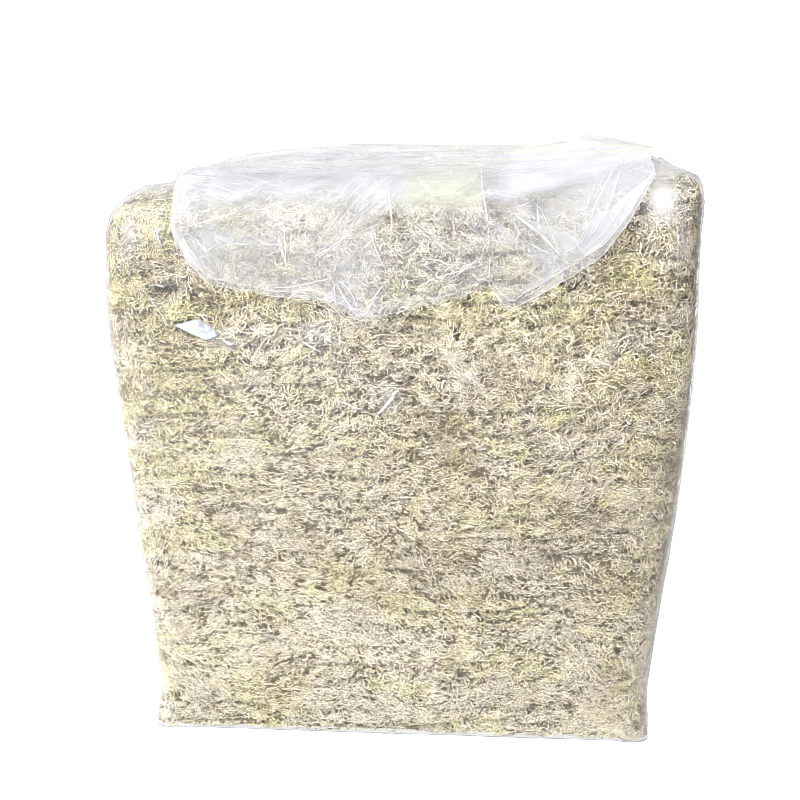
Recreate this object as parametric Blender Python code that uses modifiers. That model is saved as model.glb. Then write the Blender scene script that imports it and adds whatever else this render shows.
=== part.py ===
"""A pressed bale of dried moss, standing in a clear film bag whose neck is folded over the front.

Metres, +Z up. The bale stands on the plane z = 0 with its broad front facing -Y, and the finished
thing is centred over the origin.
"""

import math

import bmesh
import bpy
from mathutils import Vector, noise

# The pressed moss, as the smooth form that its highest tufts reach
HALF_WIDTH_FOOT = 0.1975
HALF_WIDTH_TOP = 0.2080
HALF_DEPTH_FOOT = 0.1185
HALF_DEPTH_TOP = 0.1200
MOSS_FOOT = 0.0020
MOSS_TOP = 0.4330
FLARE_ENDS = 0.75  # share of the height over which the bale widens
MOSS_UPRIGHT_RADIUS = 0.030
MOSS_TOP_RADIUS = 0.034
MOSS_FOOT_RADIUS = 0.014
FACE_BULGE = 0.0035
SIDE_BULGE = 0.0030
TOP_DOME = 0.0080
RIGHT_SHOULDER = 0.0060  # how far the right top edge stands out of its rounding
RIGHT_RISE = 0.0060  # how much higher the right end of the top lies
LEFT_DROOP = 0.0140  # how much lower the left back top corner lies
MOSS_CELLS = (17, 11, 28)

# Its relief: pressed layers with soft ledges between them, and lumps
LAYER_PITCH = 0.0460
LAYER_WARP = 0.0120
LAYER_WARP_LENGTH = 0.110
LEDGE_DEPTH = 0.0055
LEDGE_SHARE = 0.30  # of a layer's pitch that dips towards the next
LEDGE_BREAK_LENGTH = 0.070
LUMP_DEPTH = 0.0045
LUMP_SIZE = 0.050
LEAST_DEPTH = 0.0006
RELIEF_SEED = Vector((3.1, 7.7, 1.9))

# The film: far thicker here than the real 0.1 mm, so that it is a sound solid
FILM_GAP = 0.0012
FILM_WALL = 0.0008
FILM_UPRIGHT_RADIUS = 0.026
FILM_TOP_RADIUS = 0.034
FILM_FOOT_RADIUS = 0.008
HEADROOM = 0.0020  # how far the loose top stands above the moss, at most
SLACK = 0.0020
SLACK_LENGTH = 0.060
CORNER_PINCH = 0.0065  # how far each foot corner of the bag sticks out
PINCH_HEIGHT = 0.0330
FILM_CELLS = (13, 8, 12)

# The neck: two layers of film that rise out of the top near its back edge, fold forward over the
# whole top, turn over the front edge and hang down. In side view its middle line is straight, an
# arc, straight, an arc and straight again, and an arc's centre is given as (y, z).
NECK_THICKNESS = 0.0054
NECK_LEAD_IN = 0.0240
FOLD_CENTRE = Vector((0.0900, 0.4475))
FOLD_RADIUS = 0.0080
TURN_CENTRE = Vector((-0.0940, 0.4115))
TURN_RADIUS = 0.0370
BACK_SPREAD = 0.210  # how much wider the neck is at its fold than at its mouth
BACK_OFFSET = 0.0050  # and how far to the right of it
EDGE_DROOP = 0.0080  # how far the neck's side edges hang down behind
SWAY = 0.0030
SWAY_ACROSS = 0.045
SWAY_ALONG = 0.090
SWAY_STARTS = 0.040  # travel over which the film comes free of the bale
MOUTH_CUT = 0.0120  # how far the cutter of the inside runs past the mouth
COLUMNS_PER_SPAN = 2
FOLD_ROWS = 4
RUN_ROWS = 3
RUN_SHARE = 0.8  # of the run over the top that these rows take
HANGING_ROWS = 8
# The mouth's cut edge, from left to right: place across the front, and height
MOUTH_EDGE = (
    (-0.154, 0.419),
    (-0.128, 0.383),
    (-0.084, 0.377),
    (-0.050, 0.369),
    (-0.027, 0.354),
    (0.015, 0.366),
    (0.060, 0.380),
    (0.077, 0.361),
    (0.120, 0.387),
    (0.150, 0.430),
    (0.163, 0.446),
)

EDGE_CROWDING = 0.55  # draws the grid lines towards the edges, where the forms turn


def smooth_step(value):
    """0 below 0, 1 above 1, and an even curve between."""
    clamped = min(max(value, 0.0), 1.0)
    return clamped * clamped * (3.0 - 2.0 * clamped)


def soft_noise(point):
    """Smooth noise from 0 to 1."""
    return 0.5 + 0.5 * noise.noise(point)


def crowd(value):
    """Moves a grid place from -1 to 1 towards its nearer end."""
    return value * (1.0 + EDGE_CROWDING * (1.0 - value * value))


def rounded(place, half, radii):
    """A point of a box's surface moved onto the same box with rounded edges, and its way out."""
    core = [max(min(p, h - r), r - h) for p, h, r in zip(place, half, radii)]
    out = Vector([(p - c) / r for p, c, r in zip(place, core, radii)])
    if out.length > 1.0:
        out.normalize()
    return Vector([c + o * r for c, o, r in zip(core, out, radii)]), out


def settled(point):
    """A point of the even form as the slumped bale has it: its top falls to the left and back."""
    across, along = point.x / HALF_WIDTH_TOP, point.y / HALF_DEPTH_TOP
    upward = smooth_step(point.z / MOSS_TOP * 2 - 1)
    droop = LEFT_DROOP * smooth_step((-across - 0.15) / 0.85) * smooth_step((along + 0.6) / 1.6)
    rise = RIGHT_RISE * smooth_step((across - 0.4) / 0.6)
    return point + Vector((0.0, 0.0, (rise - droop) * upward))


def bale_form(cell, grow, upright_radius, top_radius, foot_radius):
    """The smooth form at a place of a two-unit cube's surface, grown outwards by grow."""
    foot, top = MOSS_FOOT - grow, MOSS_TOP + grow
    half = Vector((HALF_WIDTH_TOP + grow, HALF_DEPTH_TOP + grow, (top - foot) / 2))
    end_radius = top_radius if cell.z > 0 else foot_radius
    point, out = rounded(cell * half, half, (upright_radius, upright_radius, end_radius))
    shoulder = RIGHT_SHOULDER * 2 * max(out.x, 0.0) * max(out.z, 0.0)
    across, along, up = point.x / half.x, point.y / half.y, point.z / half.z
    narrowing = 1 - smooth_step((up + 1) / 2 / FLARE_ENDS)
    point.x *= 1 - narrowing * (HALF_WIDTH_TOP - HALF_WIDTH_FOOT) / half.x
    point.y *= 1 - narrowing * (HALF_DEPTH_TOP - HALF_DEPTH_FOOT) / half.y
    point.x += across * SIDE_BULGE * (1 - up * up)
    point.y += along * FACE_BULGE * (1 - across * across) * (1 - up * up)
    point += Vector((shoulder / 2, 0.0, half.z + foot + shoulder))
    if cell.z > 0:
        point.z += TOP_DOME * (1 - across * across) * (1 - along * along) * max(up, 0.0) ** 8
    return point


def relief_depth(point):
    """How far the moss lies below its smooth form at a point."""
    warp = LAYER_WARP * noise.noise(point / LAYER_WARP_LENGTH + RELIEF_SEED)
    phase = ((point.z + warp) / LAYER_PITCH) % 1.0
    from_ledge = min(phase, 1.0 - phase) / LEDGE_SHARE
    broken = smooth_step(0.6 + noise.noise(point / LEDGE_BREAK_LENGTH - RELIEF_SEED))
    ledge = LEDGE_DEPTH * broken * (1.0 - smooth_step(from_ledge))
    lump = LUMP_DEPTH * soft_noise(point / LUMP_SIZE + 2 * RELIEF_SEED)
    return LEAST_DEPTH + ledge + lump


def moss_surface(cell):
    """The tufted surface: the smooth form drawn in by the relief, but flat underneath."""
    form = bale_form(cell, 0.0, MOSS_UPRIGHT_RADIUS, MOSS_TOP_RADIUS, MOSS_FOOT_RADIUS)
    half_height = MOSS_TOP / 2
    heart = Vector((form.x * 0.4, form.y * 0.2, half_height + (form.z - half_height) * 0.4))
    above_foot = smooth_step((form.z - MOSS_FOOT) / MOSS_FOOT_RADIUS)
    return settled(form + (heart - form).normalized() * relief_depth(form) * above_foot)


def film_surface(cell, grow):
    """The film's form: close round the moss, loose over the top and drawn out at the foot corners."""
    point = bale_form(cell, grow, FILM_UPRIGHT_RADIUS, FILM_TOP_RADIUS, FILM_FOOT_RADIUS)
    across, along = point.x / HALF_WIDTH_TOP, point.y / HALF_DEPTH_TOP
    loose = soft_noise(point / SLACK_LENGTH + 3 * RELIEF_SEED)
    if cell.z > 0:
        over_top = smooth_step((point.z - (MOSS_TOP - FILM_TOP_RADIUS)) / FILM_TOP_RADIUS)
        point.z += HEADROOM * over_top * (0.35 + 0.65 * loose) * (1 - 0.5 * across * across)
    upright = smooth_step(point.z / PINCH_HEIGHT)
    in_corner = smooth_step((abs(across) - 0.72) / 0.2) * smooth_step((abs(along) - 0.55) / 0.3)
    point.x += math.copysign(CORNER_PINCH * (1 - upright) * in_corner, point.x)
    point.x += math.copysign(SLACK * loose * upright * abs(across) ** 3, point.x)
    point.y += math.copysign(SLACK * loose * upright * abs(along) ** 3, point.y)
    return settled(point)


def cube_form(name, cells, surface):
    """A cube cut into cells, each vertex moved to where surface puts it."""
    mesh = bpy.data.meshes.new(name)
    shape = bmesh.new()
    bmesh.ops.create_cube(shape, size=2.0)
    for axis, count in enumerate(cells):
        normal = Vector([1.0 if axis == other else 0.0 for other in range(3)])
        for step in range(1, count):
            place = normal * (2.0 * step / count - 1.0)
            everything = list(shape.verts) + list(shape.edges) + list(shape.faces)
            bmesh.ops.bisect_plane(shape, geom=everything, dist=1e-6, plane_co=place, plane_no=normal)
    for vertex in shape.verts:
        vertex.co = surface(Vector([crowd(value) for value in vertex.co]))
    bmesh.ops.recalc_face_normals(shape, faces=shape.faces)
    shape.to_mesh(mesh)
    shape.free()
    return bpy.data.objects.new(name, mesh)


def neck_lengths():
    """Length of the neck's lead-in, of its fold, of its run over the top and of its front turn."""
    run_start = FOLD_CENTRE + Vector((0.0, FOLD_RADIUS))
    run_end = TURN_CENTRE + Vector((0.0, TURN_RADIUS))
    quarter = math.pi / 2
    return NECK_LEAD_IN, FOLD_RADIUS * quarter, (run_end - run_start).length, TURN_RADIUS * quarter


def neck_place(travel):
    """The neck's middle line in side view, travel metres along, and the way that is out there."""
    lead, fold, run, turn = neck_lengths()
    if travel < lead:
        return FOLD_CENTRE + Vector((FOLD_RADIUS, travel - lead)), Vector((1.0, 0.0))
    travel -= lead
    if travel < fold:
        angle = travel / FOLD_RADIUS
        out = Vector((math.cos(angle), math.sin(angle)))
        return FOLD_CENTRE + out * FOLD_RADIUS, out
    travel -= fold
    if travel < run:
        start = FOLD_CENTRE + Vector((0.0, FOLD_RADIUS))
        end = TURN_CENTRE + Vector((0.0, TURN_RADIUS))
        return start.lerp(end, travel / run), Vector((0.0, 1.0))
    travel -= run
    angle = math.pi / 2 + min(travel, turn) / TURN_RADIUS
    out = Vector((math.cos(angle), math.sin(angle)))
    hanging = Vector((0.0, -max(travel - turn, 0.0)))
    return TURN_CENTRE + out * TURN_RADIUS + hanging, out


def neck_point(across, travel):
    """The same place in space, where the slack film sways outwards."""
    place, out = neck_place(travel)
    sway = SWAY * soft_noise(Vector((across / SWAY_ACROSS, travel / SWAY_ALONG, 4.0)))
    place = place + out * sway * smooth_step((travel - NECK_LEAD_IN) / SWAY_STARTS)
    backward = smooth_step((place.x - TURN_CENTRE.x) / (FOLD_CENTRE.x - TURN_CENTRE.x))
    droop = EDGE_DROOP * backward * smooth_step((abs(across) / MOUTH_EDGE[-1][0] - 0.8) / 0.2)
    across += backward * (across * BACK_SPREAD + BACK_OFFSET)
    return settled(Vector((across, place.x, place.y - droop)))


def neck_stations(mouth_height):
    """How far along its path each row of one column lies, from inside the top to the mouth."""
    lead, fold, run, turn = neck_lengths()
    rows = [0.0]
    rows += [lead + fold * row / FOLD_ROWS for row in range(FOLD_ROWS + 1)]
    rows += [lead + fold + run * RUN_SHARE * row / RUN_ROWS for row in range(1, RUN_ROWS + 1)]
    start = rows[-1]
    mouth = lead + fold + run + turn + TURN_CENTRE.y - mouth_height
    rows += [start + (mouth - start) * row / HANGING_ROWS for row in range(1, HANGING_ROWS + 1)]
    return rows


def neck_columns():
    """Place across and mouth height of each column of the neck."""
    columns = []
    for left, right in zip(MOUTH_EDGE, MOUTH_EDGE[1:]):
        for step in range(COLUMNS_PER_SPAN):
            columns.append(Vector(left).lerp(Vector(right), step / COLUMNS_PER_SPAN))
    return columns + [Vector(MOUTH_EDGE[-1])]


def neck_sheet(name, thickness, narrower, past_mouth):
    """The folded neck as one sheet between its two layers, thickened evenly to both sides."""
    middle = (MOUTH_EDGE[0][0] + MOUTH_EDGE[-1][0]) / 2
    half_span = MOUTH_EDGE[-1][0] - middle
    mesh = bpy.data.meshes.new(name)
    shape = bmesh.new()
    lines = []
    for across, height in neck_columns():
        stations = neck_stations(height)
        if past_mouth:
            stations.append(stations[-1] + past_mouth)
        drawn_in = middle + (across - middle) * (half_span - narrower) / half_span
        lines.append([shape.verts.new(neck_point(drawn_in, travel)) for travel in stations])
    for one, other in zip(lines, lines[1:]):
        for corners in zip(one, one[1:], other[1:], other):
            shape.faces.new(corners)
    bmesh.ops.recalc_face_normals(shape, faces=shape.faces)
    shape.to_mesh(mesh)
    shape.free()
    sheet = bpy.data.objects.new(name, mesh)
    solid = sheet.modifiers.new("both_layers", "SOLIDIFY")
    solid.thickness = thickness
    solid.offset = 0.0
    solid.use_even_offset = True
    return sheet


def add_boolean(target, other, operation):
    """Joins other to target, or cuts it away."""
    boolean = target.modifiers.new(other.name, "BOOLEAN")
    boolean.operation = operation
    boolean.solver = "EXACT"
    boolean.object = other


def finish(name, colour, roughness, alpha=1.0):
    """A plain material in the piece's own colour."""
    material = bpy.data.materials.new(name)
    material.use_nodes = True
    shader = material.node_tree.nodes["Principled BSDF"]
    shader.inputs["Base Color"].default_value = (*colour, 1.0)
    shader.inputs["Roughness"].default_value = roughness
    shader.inputs["Metallic"].default_value = 0.0
    shader.inputs["Alpha"].default_value = alpha
    return material


def make_moss(collection):
    """The bale itself, one pressed mass."""
    moss = cube_form("moss_bale", MOSS_CELLS, moss_surface)
    moss.data.materials.append(finish("dried_moss", (0.62, 0.56, 0.40), 0.9))
    collection.objects.link(moss)
    return moss


def make_bag(collection, helpers):
    """The film bag: its outer form joined to the neck, then emptied through the neck's mouth."""
    bag = cube_form("bag", FILM_CELLS, lambda cell: film_surface(cell, FILM_GAP + FILM_WALL))
    bag.data.materials.append(finish("clear_film", (0.93, 0.95, 0.97), 0.2, 0.3))
    neck = neck_sheet("neck", NECK_THICKNESS, 0.0, 0.0)
    inside = cube_form("bag_inside", FILM_CELLS, lambda cell: film_surface(cell, FILM_GAP))
    throat = neck_sheet("throat", NECK_THICKNESS - 2 * FILM_WALL, FILM_WALL, MOUTH_CUT)
    add_boolean(bag, neck, "UNION")
    add_boolean(bag, inside, "DIFFERENCE")
    add_boolean(bag, throat, "DIFFERENCE")
    for helper in (neck, inside, throat):
        helper.hide_render = True
        helper.display_type = "WIRE"
        helpers.objects.link(helper)
    collection.objects.link(bag)
    return bag


def centre_over_origin(pieces, helpers):
    """Slides everything level, so that the whole bounding box is centred over the origin."""
    bpy.context.view_layer.update()
    graph = bpy.context.evaluated_depsgraph_get()
    corners = [Vector(corner) for piece in pieces for corner in piece.evaluated_get(graph).bound_box]
    for axis in (0, 1):
        values = [corner[axis] for corner in corners]
        middle = (min(values) + max(values)) / 2
        for thing in pieces + list(helpers.objects):
            thing.location[axis] -= middle


def main():
    for thing in list(bpy.data.objects):
        bpy.data.objects.remove(thing)
    bale = bpy.data.collections.new("moss_bale_in_bag")
    helpers = bpy.data.collections.new("cutters")
    for collection in (bale, helpers):
        bpy.context.scene.collection.children.link(collection)
    pieces = [make_moss(bale), make_bag(bale, helpers)]
    centre_over_origin(pieces, helpers)


main()
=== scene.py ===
"""A pressed bale of dried moss in its clear film bag, with the bag's neck folded over the front.

Metres, +Z up. The broad front faces -Y, as on the CAD model that every piece here is laid on.
"""

import math
from itertools import product

import bpy
import numpy as np
from mathutils import Matrix
from mathutils.bvhtree import BVHTree


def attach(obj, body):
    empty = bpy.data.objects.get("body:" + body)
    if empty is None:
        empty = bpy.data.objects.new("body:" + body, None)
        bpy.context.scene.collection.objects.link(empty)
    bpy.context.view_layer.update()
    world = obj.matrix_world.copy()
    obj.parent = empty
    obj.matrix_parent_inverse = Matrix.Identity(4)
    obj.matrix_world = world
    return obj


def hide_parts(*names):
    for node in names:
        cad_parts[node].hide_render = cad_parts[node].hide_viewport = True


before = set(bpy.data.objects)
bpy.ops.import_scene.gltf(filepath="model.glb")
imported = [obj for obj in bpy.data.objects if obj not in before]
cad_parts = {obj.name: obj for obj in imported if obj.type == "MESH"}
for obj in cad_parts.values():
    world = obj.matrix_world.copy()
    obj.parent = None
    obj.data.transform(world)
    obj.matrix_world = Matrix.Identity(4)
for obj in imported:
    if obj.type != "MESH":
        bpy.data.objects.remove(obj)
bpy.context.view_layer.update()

scene = bpy.context.scene


# The heart of the bale
# Long dried moss, baled in a press, so it is one block without a core of its own. This piece is the
# tangle that shows a few millimetres in, between the branches of the outside; its colour is mostly painted
# shade.

CENTRE = np.array((-0.000069, 0.004716, 0.0))  # where the CAD's own middle lies in the frame
HALF_WIDTH = (0.1975, 0.2080)  # at the foot and at the top
HALF_DEPTH = (0.1185, 0.1200)
BALE_FOOT = 0.0020
BALE_TOP = 0.4330
FLARE_ENDS = 0.75
FACE_BULGE = 0.0035
SIDE_BULGE = 0.0030
TOP_DOME = 0.0080
RIGHT_SHOULDER = 0.0080
RIGHT_RISE = 0.0150
LEFT_BELLY = 0.0040  # how far the left side swells out below its top, and at what height
BELLY_HEIGHT = 0.345
RIGHT_TUCK = 0.0040  # how far the right side is drawn in there, and at what height
TUCK_HEIGHT = 0.400
SIDE_REACH = 0.055  # how far up and down both reach
LEFT_DROOP = 0.0140
BALE_RADII = (0.027, 0.034, 0.006)  # of the upright edges, the top's and the foot's
HEART_CELLS = (48, 30, 52)  # how many cells it has across, along and up
SKIN_GROW = 0.0022  # from the bale's even form out to where its branches end
HEART_DEPTH = 0.0026  # how deep the shaded tangle lies under the branches' ends
HEART_ROUGHNESS = 0.0018
CORNER_PINCH = 0.0080  # how far the foot corners are drawn out to a point, and from what height
PINCH_HEIGHT = 0.0500
LAYER_PITCH = 0.0155  # between two pressed layers
GROOVE_DEPTH = 0.0034
FULL_FOOT = 0.0300  # below this height the grooves and the film's folds run out
SEED = 268
LATTICE_SIZE = 32

chance = np.random.default_rng(SEED)
vary = chance.standard_normal
LATTICE = chance.random((LATTICE_SIZE, LATTICE_SIZE, LATTICE_SIZE))


def soft_noise(points, size, shift=0.0):
    """Smooth noise from 0 to 1 at each point, with lumps of about that size."""
    place = points / np.array(size) + shift
    cell = np.floor(place).astype(int)
    part = place - cell
    part = part * part * (3.0 - 2.0 * part)
    total = np.zeros(len(points))
    for corner in product((0, 1), repeat=3):
        weight = np.prod(np.where(corner, part, 1.0 - part), axis=1)
        at = (cell + corner) % LATTICE_SIZE
        total += weight * LATTICE[at[:, 0], at[:, 1], at[:, 2]]
    return total


def smooth_step(value):
    """0 below 0, 1 above 1, and an even curve between."""
    clamped = np.clip(value, 0.0, 1.0)
    return clamped * clamped * (3.0 - 2.0 * clamped)


def rise(value, start, width):
    """0 up to the start, and an even curve to 1 over the width after it."""
    return smooth_step((value - start) / width)


def fall(value, start, width):
    """0 from the start on, and an even curve to 1 over the width before it."""
    return smooth_step((start - value) / width)


def unit(ways, least=0.0):
    """Each of the ways made one long."""
    return ways / (np.linalg.norm(ways, axis=-1, keepdims=True) + least)


def mound(across, height, middle_across, middle_height, half_width, half_height):
    """1 in the middle of a spot, and less the further out."""
    away = ((across - middle_across) / half_width) ** 2
    away += ((height - middle_height) / half_height) ** 2
    return np.exp(-away)


def cube_cells(counts):
    """Places on a two-unit cube's surface, and the four-sided cells between them, facing out."""
    cells = []
    for axis in range(3):
        one, other = (axis + 1) % 3, (axis + 2) % 3
        first, second = np.meshgrid(np.arange(counts[one]), np.arange(counts[other]), indexing="ij")
        for end in (0, counts[axis]):
            turn = ((0, 0), (1, 0), (1, 1), (0, 1))
            corners = np.zeros((first.size, 4, 3), int)
            for corner, (step, other_step) in enumerate(turn if end else turn[::-1]):
                corners[:, corner, axis] = end
                corners[:, corner, one] = first.ravel() + step
                corners[:, corner, other] = second.ravel() + other_step
            cells.append(corners)
    places, faces = np.unique(np.concatenate(cells).reshape(-1, 3), axis=0, return_inverse=True)
    return 2.0 * places / np.array(counts) - 1.0, faces.reshape(-1, 4)


def settled(points):
    """The even form as the slumped bale has it: its top falls to the left and back."""
    x, y, z = points.T
    across, along = x / HALF_WIDTH[1], y / HALF_DEPTH[1]
    upward = smooth_step(z / BALE_TOP * 2 - 1)
    droop = LEFT_DROOP * rise(-across, 0.15, 0.85) * rise(along, -0.6, 1.6)
    lifted = RIGHT_RISE * rise(across, 0.4, 0.6)
    swell = LEFT_BELLY * smooth_step(-across) * np.exp(-(((z - BELLY_HEIGHT) / SIDE_REACH) ** 2))
    tuck = RIGHT_TUCK * smooth_step(across) * np.exp(-(((z - TUCK_HEIGHT) / SIDE_REACH) ** 2))
    return np.stack((x - (swell + tuck), y, z + (lifted - droop) * upward), axis=1)


def even_form(cells, grow, radii):
    """The bale's smooth form at places of a cube's surface, grown outwards, before it slumps."""
    foot, top = BALE_FOOT - grow, BALE_TOP + grow
    half = np.array((HALF_WIDTH[1] + grow, HALF_DEPTH[1] + grow, (top - foot) / 2))
    end_radius = np.where(cells[:, 2] > 0, radii[1], radii[2])
    edge = np.stack((np.full(len(cells), radii[0]), np.full(len(cells), radii[0]), end_radius), axis=1)
    spots = cells * half
    core = np.maximum(np.minimum(spots, half - edge), edge - half)
    out = (spots - core) / edge
    out /= np.maximum(np.linalg.norm(out, axis=1), 1.0)[:, None]
    points = core + out * edge
    shoulder = RIGHT_SHOULDER * 2 * np.maximum(out[:, 0], 0.0) * np.maximum(out[:, 2], 0.0)
    across, along, up = (points / half).T
    x, y, z = points.T
    narrowing = 1 - smooth_step((up + 1) / 2 / FLARE_ENDS)
    x *= 1 - narrowing * (HALF_WIDTH[1] - HALF_WIDTH[0]) / half[0]
    y *= 1 - narrowing * (HALF_DEPTH[1] - HALF_DEPTH[0]) / half[1]
    drawn = 1 - rise(z, -half[2], PINCH_HEIGHT)
    drawn = 2 * CORNER_PINCH * np.abs(out[:, 0] * out[:, 1]) * drawn
    x += np.sign(out[:, 0]) * drawn
    y += np.sign(out[:, 1]) * drawn * 0.7
    x += across * SIDE_BULGE * (1 - up * up) + shoulder / 4
    y += along * FACE_BULGE * (1 - across * across) * (1 - up * up)
    z += half[2] + foot + shoulder
    crown = TOP_DOME * (1 - across * across) * (1 - along * along) * np.maximum(up, 0.0) ** 8
    z += np.where(cells[:, 2] > 0, crown, 0.0)
    return points


# Hollows where a tuft has come away under the film, in millimetres: place across, height, half
# width, half height and depth. They are in the broad front and its top edge.
HOLLOWS = (
    (-164, 372, 7.5, 6, 10),
    (-149, 118, 10, 8.5, 6),
    (-118, 115, 12, 5, 4.5),
    (138, 170, 24, 6, 5.5),
    (102, 432, 10, 6, 10),
    (123, 437, 11, 5, 10),
    (166, 433, 6, 6, 8),
    (26, 344, 13, 4.5, 4),
    (160, 330, 12, 6, 4),
    (-25, 418, 16, 6, 5),
)


def hollow_depth(points):
    """How far the moss lies back in the hollows, the named ones and many small chance ones."""
    depth = 0.0018 * rise(soft_noise(points, 0.013, 5.3), 0.66, 0.16)
    depth *= 0.3 + 0.7 * rise(points[:, 2], 0.200, 0.100)
    in_front = fall(points[:, 1], -0.070, 0.020)
    for *spot, deep in np.array(HOLLOWS) / 1000:
        depth += deep * in_front * mound(points[:, 0], points[:, 2], *spot)
    return depth


def groove_depth(points):
    """How far the moss lies back between two pressed layers."""
    wander = 0.020 * soft_noise(points, 0.075, 2.1) + 0.008 * soft_noise(points, 0.028, 8.4)
    phase = ((points[:, 2] + wander) / LAYER_PITCH) % 1.0
    broken = rise(soft_noise(points, (0.045, 0.045, 0.020), 3.7), 0.36, 0.22)
    return GROOVE_DEPTH * broken * (1.0 - smooth_step(np.minimum(phase, 1.0 - phase) / 0.16))


def piece_from(name, points, faces, smooth=True):
    """A new object from rows of points and rows of corners, all rows of one length."""
    mesh = bpy.data.meshes.new(name)
    width = faces.shape[1]
    mesh.vertices.add(len(points))
    mesh.vertices.foreach_set("co", np.asarray(points, np.float32).ravel())
    mesh.loops.add(faces.size)
    mesh.loops.foreach_set("vertex_index", np.asarray(faces, np.int32).ravel())
    mesh.polygons.add(len(faces))
    mesh.polygons.foreach_set("loop_start", np.arange(0, faces.size, width, dtype=np.int32))
    mesh.update(calc_edges=True)
    if smooth:
        mesh.shade_smooth()
    made = bpy.data.objects.new(name, mesh)
    scene.collection.objects.link(made)
    return made


def note(piece, name, rows):
    """Keeps three numbers at each point of a piece, for its finish to use."""
    piece.data.attributes.new(name, "FLOAT_VECTOR", "POINT")
    piece.data.attributes[name].data.foreach_set("vector", np.asarray(rows, np.float32).ravel())


def place_in_frame(piece, node):
    """The piece stands for that CAD node, whose part it hides, and moves with the whole."""
    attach(piece, "root")
    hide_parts(node)


def outward(points, faces):
    """The way out at every point of a surface, and that of its faces, as long as they are large."""
    crossed = np.cross(points[faces[:, 2]] - points[faces[:, 0]], points[faces[:, 3]] - points[faces[:, 1]])
    ways = np.zeros_like(points)
    for corner in range(4):
        np.add.at(ways, faces[:, corner], crossed)
    return unit(ways), crossed


heart_cells, skin_faces = cube_cells(HEART_CELLS)
skin_points = settled(even_form(heart_cells, SKIN_GROW, BALE_RADII)) + CENTRE
skin_normals, face_crosses = outward(skin_points, skin_faces)
face_normals = unit(face_crosses)
skin_tree = BVHTree.FromPolygons(skin_points.tolist(), skin_faces.tolist())


def looseness(points):
    """0 in the tight pressed layers to 1 where the branches stand loose: top, edges and corners."""
    up = rise(points[:, 2], 0.285, 0.110)
    ends = rise(np.abs(points[:, 0]), 0.150, 0.045) * 0.75
    right = rise(points[:, 0], 0.020, 0.120) * rise(points[:, 2], 0.200, 0.09)
    patchy = 0.5 * soft_noise(points, 0.050, 6.6) - 0.20
    return np.clip(np.maximum(np.maximum(up, ends), right * 0.9) + patchy, 0.0, 1.0)


def fullness(outs):
    """1 on the front and the back to a little at the sides, which the moss fills to the film."""
    return 1.0 - 0.75 * rise(np.abs(outs[:, 0]), 0.3, 0.4)


above_foot = smooth_step(skin_points[:, 2] / FULL_FOOT)
inward = (groove_depth(skin_points) + hollow_depth(skin_points)) * above_foot
inward += HEART_DEPTH * (0.6 + 0.4 * above_foot + 0.9 * looseness(skin_points))
inward += HEART_ROUGHNESS * soft_noise(skin_points, 0.009, 1.3)
inward *= fullness(skin_normals)
heart = piece_from("moss_core", skin_points - skin_normals * inward[:, None], skin_faces)

# Off the front it has fewer branches on it, so it shows more there and its painted shade is lighter
bareness = np.zeros((len(skin_points), 3))
bareness[:, 0] = 1.0 - rise(-skin_normals[:, 1], 0.35, 0.35)
note(heart, "bare", bareness)


def fill(node, inputs):
    """Sets or links the inputs of a node, each by its name or its number."""
    for key, value in inputs.items():
        if isinstance(value, bpy.types.NodeSocket):
            node.id_data.links.new(value, node.inputs[key])
        else:
            node.inputs[key].default_value = value


def node_adder(tree):
    """What adds a node to the tree, fills its inputs and hands back one of its outputs, or all."""

    def add(kind, inputs=(), out=0, **settings):
        node = tree.nodes.new("ShaderNode" + kind)
        for name, value in settings.items():
            setattr(node, name, value)
        fill(node, inputs if isinstance(inputs, dict) else dict(enumerate(inputs)))
        return node.outputs if out is None else node.outputs[out]

    return add


def new_material(name):
    """An empty material, with what adds its nodes, its shader and its output."""
    material = bpy.data.materials.new(name)
    material.use_nodes = True
    nodes = material.node_tree.nodes
    add = node_adder(material.node_tree)
    return material, add, nodes["Principled BSDF"], nodes["Material Output"]


def new_group(name, taken, given_back):
    """An empty node group, with what adds its nodes, what it takes and its output."""
    group = bpy.data.node_groups.new(name, "ShaderNodeTree")
    for way, sockets in (("INPUT", taken), ("OUTPUT", given_back)):
        for socket in sockets:
            group.interface.new_socket(socket, in_out=way, socket_type="NodeSocketFloat")
    values = group.nodes.new("NodeGroupInput").outputs
    return group, node_adder(group), values, group.nodes.new("NodeGroupOutput")


def maths(add, operation, *values):
    """The result of one sum on numbers and outputs."""
    return add("Math", values, operation=operation)


def blend(add, factor, first, second):
    """The first colour at 0, the second at 1."""
    return add("Mix", {"Factor": factor, 6: first, 7: second}, 2, data_type="RGBA")


def noted(add, name):
    """What note() kept at the points under that name, as X, Y and Z."""
    return add("SeparateXYZ", (add("Attribute", out="Vector", attribute_name=name),), None)


def colour(red, green, blue):
    """A screen colour from 0 to 255 as the shader's own numbers."""
    parts = [value / 255 for value in (red, green, blue)]
    parts = [p / 12.92 if p < 0.04045 else ((p + 0.055) / 1.055) ** 2.4 for p in parts]
    return (*parts, 1.0)


def ramp(add, value, stops):
    """The colour at that value of a ramp with those places and colours."""
    result = add("ValToRGB", (value,))
    elements = result.node.color_ramp.elements
    while len(elements) < len(stops):
        elements.new(0.5)
    for element, (place, tint) in zip(elements, stops):
        element.position = place
        element.color = tint
    return result


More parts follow.
